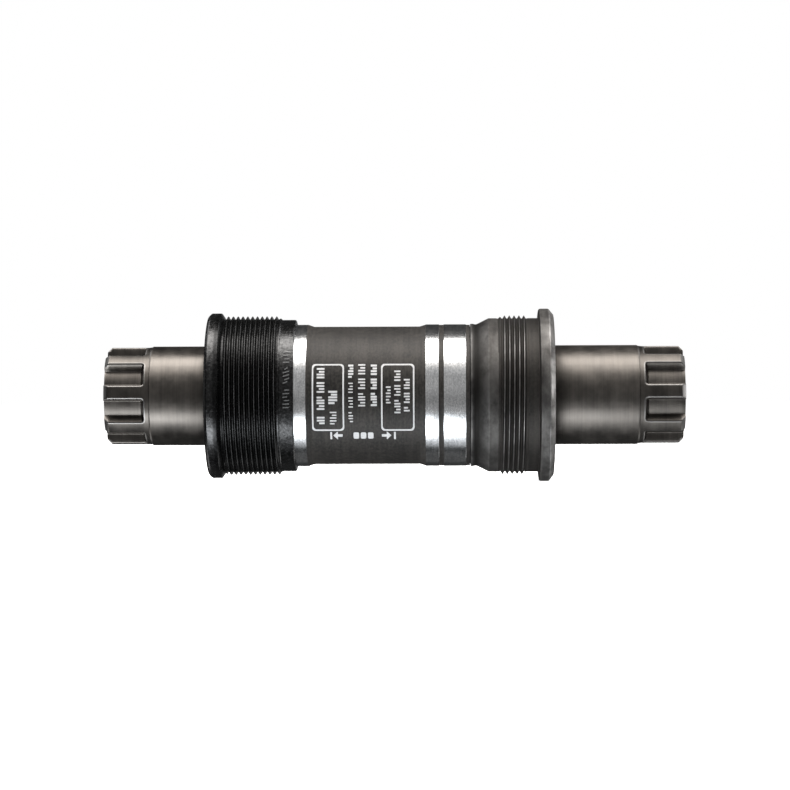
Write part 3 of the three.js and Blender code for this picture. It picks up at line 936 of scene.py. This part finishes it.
def make_marks():
    """Laser marks of the generic kind: two frames, rows of strokes, and arrows to both ends."""
    edit = bmesh.new()
    for left, right in FRAMES:
        outer = subdivided(rounded_box(left, right, FRAME_TOP, FRAME_BOTTOM, 0.75))
        half = ((right - left) / 2, (FRAME_TOP - FRAME_BOTTOM) / 2)
        middle = ((left + right) / 2, (FRAME_TOP + FRAME_BOTTOM) / 2)
        inner = [
            tuple(m + (v - m) * (h - FRAME_LINE) / h for v, m, h in zip(point, middle, half))
            for point in outer
        ]
        add_frame(edit, outer, inner)
    for left, right, top, bottom, weight in PRINT_ROWS:
        count = max(3, round((top - bottom) / STROKE_PITCH))
        pitch = (top - bottom) / count
        for k in range(count):
            if k in STROKE_GAPS and count > 8:
                continue
            start = top - (k + 0.5 * STROKE_SHIFTS[k % len(STROKE_SHIFTS)]) * pitch
            inset = 0.3 * (right - left) * (k % 3 == 1)
            left_inset, right_inset = (inset, 0) if k % 2 else (0, inset)
            add_bar(edit, left + left_inset, right - right_inset, start, start - weight, 0.05)
    for x in BLOCKS:
        add_bar(edit, x, x + 1.2, -7.95, -9.3, 0.3)
    for tip, tail in ARROWS:
        add_arrow(edit, tip, tail, ARROW_HEIGHT)
    for x in STOPS:
        add_bar(edit, x, x + 0.4, -7.85, -9.4, 0.08)
    return closed_piece("laser_marks", edit, MARK)


def make_nose_strokes():
    """Low raised strokes moulded on the front of the adapter's nose, in three groups, in a lighter
    resin as a painted highlight.
    """
    edit = bmesh.new()
    for k in range(NOSE_STROKES):
        if k in NOSE_GAPS:
            continue
        top = NOSE_TOP - NOSE_PITCH * k
        start = NOSE_SPAN[0] + 0.35 * (k % 3 == 2)
        end = NOSE_SPAN[1] - 0.4 * (k % 4 == 1)
        slant = 0.4 if NOSE_GAPS[0] < k < NOSE_GAPS[1] else 0.08
        upper = ((end, top + slant), (start, top))
        outline = [*upper, *((x, height - NOSE_WEIGHT) for x, height in reversed(upper))]
        add_rungs(edit, outline, False, skin=NOSE_SKIN)
    return closed_piece("adapter_strokes", edit, PAINTED_HIGHLIGHT_RESIN)


# ---------------------------------------------------------------- bearings
RACE_HALF = 2.9  # half a race's width


def make_race(row, x):
    """An outer race, whose lip is higher on the side towards the nearer end of the spindle."""
    radius, centre = 1.7, 12.17
    lips = (12.75, 13.45) if x < 0 else (13.45, 12.75)
    left, right = (math.acos((lip - centre) / radius) / DEG for lip in lips)
    rows = rounded([
        (x - RACE_HALF + 0.1, lips[0], 0, 0),
        (x - RACE_HALF, lips[0] + 0.1, 0, 0),
        (x - RACE_HALF, 14.4, 0.3, 0),
        (x + RACE_HALF, 14.4, 0.3, 0),
        (x + RACE_HALF, lips[1], 0.15, 0),
        *arc((x, centre), radius, right, -left, 12),
    ])
    return ring(f"{row}_race_ring", rows, (RACE_STEEL,))


POCKET_SIDES = 20
POCKET_RADIUS = 1.68
CAGE_RADII = (11.72, 12.52)
CAGE_HALF = 2.2  # half a cage's width


def make_cage(row, x):
    """A band with a round pocket for each ball and rails along both sides."""
    edit = bmesh.new()
    cell = TURN / BALLS
    reach = cell * BALL_CIRCLE / 2

    def spot(dx, arc_length, radius):
        angle = base + arc_length / BALL_CIRCLE
        y, z = -radius * math.sin(angle), radius * math.cos(angle)
        return edit.verts.new(Vector((x + dx, y, z)) * MM)

    for base in (cell * k for k in range(BALLS)):
        loops = []
        for radius in CAGE_RADII:
            hole, rim = [], []
            for i in range(POCKET_SIDES):
                turn = TURN * i / POCKET_SIDES
                c, s = math.cos(turn), math.sin(turn)
                hole.append(spot(POCKET_RADIUS * c, POCKET_RADIUS * s, radius))
                scale = min(CAGE_HALF / max(abs(c), 1e-9), reach / max(abs(s), 1e-9))
                rim.append(spot(scale * c, scale * s, radius))
            loops += [hole, rim]
        low_hole, low_rim, top_hole, top_rim = loops
        for i in range(POCKET_SIDES):
            j = (i + 1) % POCKET_SIDES
            edit.faces.new((top_hole[i], top_rim[i], top_rim[j], top_hole[j]))
            edit.faces.new((low_hole[j], low_rim[j], low_rim[i], low_hole[i]))
            edit.faces.new((low_hole[i], top_hole[i], top_hole[j], low_hole[j]))
            middle = TURN * (i + 0.5) / POCKET_SIDES
            if abs(math.cos(middle)) * reach > abs(math.sin(middle)) * CAGE_HALF:
                edit.faces.new((low_rim[j], top_rim[j], top_rim[i], low_rim[i]))
    return closed_piece(f"{row}_cage_band", edit, NYLON, merge=2e-6)


def ball_mesh():
    """The mesh that all the balls share."""
    edit = bmesh.new()
    bmesh.ops.create_icosphere(edit, subdivisions=4, radius=BALL_RADIUS * MM)
    mesh = bpy.data.meshes.new("bearing_ball")
    edit.to_mesh(mesh)
    edit.free()
    mesh.materials.append(BALL_STEEL)
    mesh.shade_smooth()
    return mesh


# ---------------------------------------------------------------- seals


def depths_of(node):
    """The x at a depth under a seal part's outer face, as a function, and the x of its back."""
    low, high, _ = ends(node)
    face, back = (low, high) if low < 0 else (high, low)
    return lambda depth: face - math.copysign(depth, face), back


def oriented(rows):
    """The rows in the order that puts the piece's outside out."""
    area = 0.0
    for (x, r, _), (nx, nr, _) in zip(rows, [*rows[1:], rows[0]]):
        area += x * nr - nx * r
    return rows if area < 0 else rows[::-1]


def make_seal_case(end):
    """A pressed steel ring with a folded lip, which closes the gap round the rubber."""
    node = f"{end}_seal_case"
    outer = ends(node)[2]
    x, back = depths_of(node)
    rows = rounded([
        (x(0), 13.0, 0, 0),
        (x(0), 12.7, 0.05, 0),
        (x(0.12), 12.55, 0.1, 0),
        (x(0.12), 12.4, 0.05, 0),
        (x(0.6), 12.4, 0.1, 0),
        (x(0.6), 13.8, 0.4, 0),
        (back, 13.8, 0.15, 0),
        (back, outer, 0.15, 0),
        (x(0), outer, 0.6, 0),
        (x(0), 13.2, 0, 0),
    ])
    return ring(f"{end}_seal_ring", oriented(rows), (SEAL_STEEL,))


def make_seal_lip(end):
    """A rubber ring whose lip runs on the spindle."""
    x, back = depths_of(f"{end}_seal_lip")
    bond = 12.3
    rows = rounded([
        (x(0.1), bond, 0, 0),
        (x(0.0), 12.2, 0.05, 0),
        (x(0.0), 11.9, 0.15, 0),
        (x(0.25), 11.5, 0.3, 0),
        (x(0.2), 11.25, 0.2, 0),
        (x(0.55), 10.95, 0.08, 0),
        (x(1.0), 10.95, 0.08, 0),
        (x(1.2), 11.6, 0.3, 0),
        (back, 12.0, 0.1, 0),
        (back, bond, 0, 0),
    ])
    return ring(f"{end}_seal_rubber", oriented(rows), (RUBBER,))


def make_spacer():
    """The plain ring between the two races on the right."""
    low, high, outer = ends("race_spacer")
    bore = 12.9
    rows = rounded([
        (low + 1, bore, 0, 0),
        (low, bore, 0.15, 0),
        (low, outer, 0.15, 0),
        (high, outer, 0.15, 0),
        (high, bore, 0.15, 0),
        (low + 1.1, bore, 0, 0),
    ])
    return ring("race_spacer_ring", rows, (RACE_STEEL,))


# ---------------------------------------------------------------- the assembly


def add(piece, body, slot, *nodes):
    """Puts a piece on its body, in place of these CAD nodes."""
    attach(piece, body)
    if nodes:
        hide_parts(*nodes)


add(make_spindle(), "spindle", "spindle_steel", "spindle")
add(make_shell(), "cartridge", "shell_steel", "cartridge_shell")
add(make_marks(), "cartridge", "shell_steel")
add(make_adapter(), "left_adapter", "adapter_resin", "left_adapter_cup")
add(make_nose_strokes(), "left_adapter", "adapter_resin")
add(make_cup(), "cartridge", "cup_steel", "right_fixed_cup")
add(make_spacer(), "cartridge", "race_steel", "race_spacer")
for end in ("left", "right"):
    add(make_seal_case(end), "cartridge", "seal_steel", f"{end}_seal_case")
    add(make_seal_lip(end), "cartridge", "seal_rubber", f"{end}_seal_lip")

ball_shape = ball_mesh()
for row, row_x in ROWS.items():
    add(make_race(row, row_x), "cartridge", "race_steel", f"{row}_bearing_race")
    add(make_cage(row, row_x), f"{row}_ball_set", "cage_nylon", f"{row}_ball_cage")
    for number in range(1, BALLS + 1):
        node = f"{row}_ball_{number:02d}"
        corner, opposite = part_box(node)
        ball = bpy.data.objects.new(f"{row}_bearing_ball_{number:02d}", ball_shape)
        bpy.context.scene.collection.objects.link(ball)
        ball.location = (corner + opposite) / 2
        add(ball, f"{row}_ball_set", "ball_steel", node)

# ---------------------------------------------------------------- floor, lights and camera
# Lengths from here on are metres.
scene = bpy.context.scene
scene.view_settings.view_transform = "Standard"
FLOOR_HALF = 6.0
FLOOR_Z = cad_bounds[0].z
ROOM_STRENGTH = 0.035
CAMERA_DISTANCE = 0.62
CAMERA_SIDE = 0.0123  # how far right of the middle the camera stands
CAMERA_HEIGHT = 0.00006
CAMERA_ROLL = -0.18 * DEG
VIEW_WIDTH = 0.1733  # what the camera sees from side to side at the spindle's axis
SENSOR_WIDTH = 36  # millimetres


def make_floor():
    """A pale sheet under the object that gives its own light, so that it has no horizon."""
    mesh = bpy.data.meshes.new("floor")
    corners = [(x * FLOOR_HALF, y * FLOOR_HALF) for x, y in ((-1, -1), (1, -1), (1, 1), (-1, 1))]
    mesh.from_pydata([(x, y, FLOOR_Z) for x, y in corners], [], [(0, 1, 2, 3)])
    look = Look("pale_floor", Roughness=0.9)
    paper = look.noise(900, 900, 2)
    colour = look.ramp(paper, (0.3, grey(0.80)), (0.7, grey(0.82)))
    look.shader.inputs["Emission Color"].default_value = (1, 1, 1, 1)
    look.shader.inputs["Emission Strength"].default_value = 1.0
    mesh.materials.append(look.set(Base_Color=colour))
    floor = bpy.data.objects.new("floor", mesh)
    scene.collection.objects.link(floor)
    floor.visible_glossy = False
    floor.visible_diffuse = False
    floor.visible_shadow = False


def make_world():
    """White behind the object; a dim grey room for what lights it and shows in it."""
    world = bpy.data.worlds.new("studio")
    world.use_nodes = True
    scene.world = world
    tree = world.node_tree
    room = tree.nodes["Background"]
    room.inputs["Color"].default_value = (0.95, 0.98, 1.0, 1)
    room.inputs["Strength"].default_value = ROOM_STRENGTH
    backdrop = tree.nodes.new("ShaderNodeBackground")
    backdrop.inputs["Color"].default_value = (1, 1, 1, 1)
    mix = tree.nodes.new("ShaderNodeMixShader")
    path = tree.nodes.new("ShaderNodeLightPath")
    tree.links.new(path.outputs["Is Camera Ray"], mix.inputs[0])
    tree.links.new(room.outputs[0], mix.inputs[1])
    tree.links.new(backdrop.outputs[0], mix.inputs[2])
    tree.links.new(mix.outputs[0], tree.nodes["World Output"].inputs["Surface"])


def softbox(name, azimuth, distance, width, levels, colour=(1.0, 1.0, 1.0), shift=0.0):
    """A light that faces the object. Azimuth 0 is the camera's side, and shift moves it sideways.

    levels are (elevation in degrees, radiance) from its low edge to its top, blended in between.
    """
    elevation = (levels[0][0] + levels[-1][0]) / 2
    height = 2 * distance * math.tan((levels[-1][0] - elevation) * DEG)
    brightest = max(radiance for _, radiance in levels)
    light = bpy.data.lights.new(name, "AREA")
    light.shape = "RECTANGLE"
    light.size, light.size_y = width, height
    light.energy = brightest * math.pi * width * height
    light.color = colour
    light.use_nodes = True
    nodes, links = light.node_tree.nodes, light.node_tree.links
    spot = nodes.new("ShaderNodeNewGeometry")
    split = nodes.new("ShaderNodeSeparateXYZ")
    fade = nodes.new("ShaderNodeValToRGB")
    links.new(spot.outputs["Parametric"], split.inputs[0])
    links.new(split.outputs["Y"], fade.inputs[0])
    links.new(fade.outputs[0], nodes["Emission"].inputs["Strength"])
    stops = fade.color_ramp.elements
    while len(stops) < len(levels):
        stops.new(0.5)
    for stop, (angle, radiance) in zip(stops, levels):
        stop.position = 0.5 + distance * math.tan((angle - elevation) * DEG) / height
        stop.color = (*(radiance / brightest for _ in range(3)), 1)
    lamp = bpy.data.objects.new(name, light)
    scene.collection.objects.link(lamp)
    a, e = azimuth * DEG, elevation * DEG
    back = Vector((math.sin(a) * math.cos(e), -math.cos(a) * math.cos(e), math.sin(e)))
    across = Vector((math.cos(a), math.sin(a), 0))
    lamp.location = back * distance + across * shift
    up = back.cross(across)
    lamp.rotation_euler = Matrix((across, up, back)).transposed().to_euler()
    lamp.visible_camera = False


make_floor()
make_world()
WARM = (1.0, 0.975, 0.95)
COOL = (0.92, 0.96, 1.0)
OVERHEAD = (
    (46, 0.60), (50, 0.9), (54, 1.3), (58, 2.2), (63, 4.0), (70, 6.9), (79, 10.0), (86, 11.4),
    (93, 11.4), (98, 6.6), (102, 1.4), (105, 0.05),
)
FRONT = ((-30, 0.36), (-20, 0.24), (-8, 0.19), (2, 0.26), (12, 0.34), (32, 0.34), (46, 0.53))
FRONT_LOW_LEFT = (
    (-92, 0.2), (-86, 0.35), (-80, 0.55), (-73, 1.3), (-67, 3.2), (-60, 9.5), (-54, 13.0),
    (-48, 11.0), (-43, 6.0), (-38, 2.2), (-30, 0.5),
)
FRONT_LOW_RIGHT = (
    (-92, 0.25), (-86, 0.45), (-80, 0.7), (-73, 1.2), (-67, 2.1), (-60, 3.9), (-54, 4.6),
    (-48, 4.0), (-43, 2.3), (-38, 1.0), (-30, 0.35),
)
BACK_HIGH = ((28, 0.6), (38, 2.4), (48, 2.7), (60, 1.3))
BACK_LOW = ((-60, 0.6), (-50, 1.7), (-38, 1.7), (-28, 0.4))
BACK_AZIMUTH = 124

softbox("overhead", 0, 0.6, 1.2, OVERHEAD, WARM)
softbox("front", 0, 0.8, 1.6, FRONT)
softbox("front_low_left", 0, 0.6, 0.7, FRONT_LOW_LEFT, COOL, -0.35)
softbox("front_low_right", 0, 0.6, 0.7, FRONT_LOW_RIGHT, COOL, 0.35)
softbox("behind", 180, 0.8, 0.5, ((-14, 0.25), (12, 0.25)))
softbox("behind_low", 180, 0.8, 0.7, ((-75, 0.05), (-40, 0.05)))
for end, azimuth in (("left", -BACK_AZIMUTH), ("right", BACK_AZIMUTH)):
    softbox(f"back_high_{end}", azimuth, 0.8, 0.5, BACK_HIGH)
    softbox(f"back_low_{end}", azimuth, 0.8, 0.5, BACK_LOW)
softbox("right_end", 103, 0.7, 0.45, ((-18, 1.0), (2, 3.5), (24, 1.0)))
softbox("left_end", -103, 0.7, 0.3, ((-18, 0.2), (2, 0.4), (24, 0.2)))

lens = bpy.data.cameras.new("camera")
lens.sensor_width = SENSOR_WIDTH
lens.lens = SENSOR_WIDTH * CAMERA_DISTANCE / VIEW_WIDTH
lens.clip_end = 20
camera = bpy.data.objects.new("camera", lens)
scene.collection.objects.link(camera)
camera.location = (CAMERA_SIDE, -CAMERA_DISTANCE, CAMERA_HEIGHT)
roll = Matrix.Rotation(CAMERA_ROLL, 3, "Z")
level = Matrix.Rotation(math.pi / 2, 3, "X")
yaw = Matrix.Rotation(math.atan2(CAMERA_SIDE, CAMERA_DISTANCE), 3, "Z")
camera.rotation_euler = (yaw @ level @ roll).to_euler()
scene.camera = camera
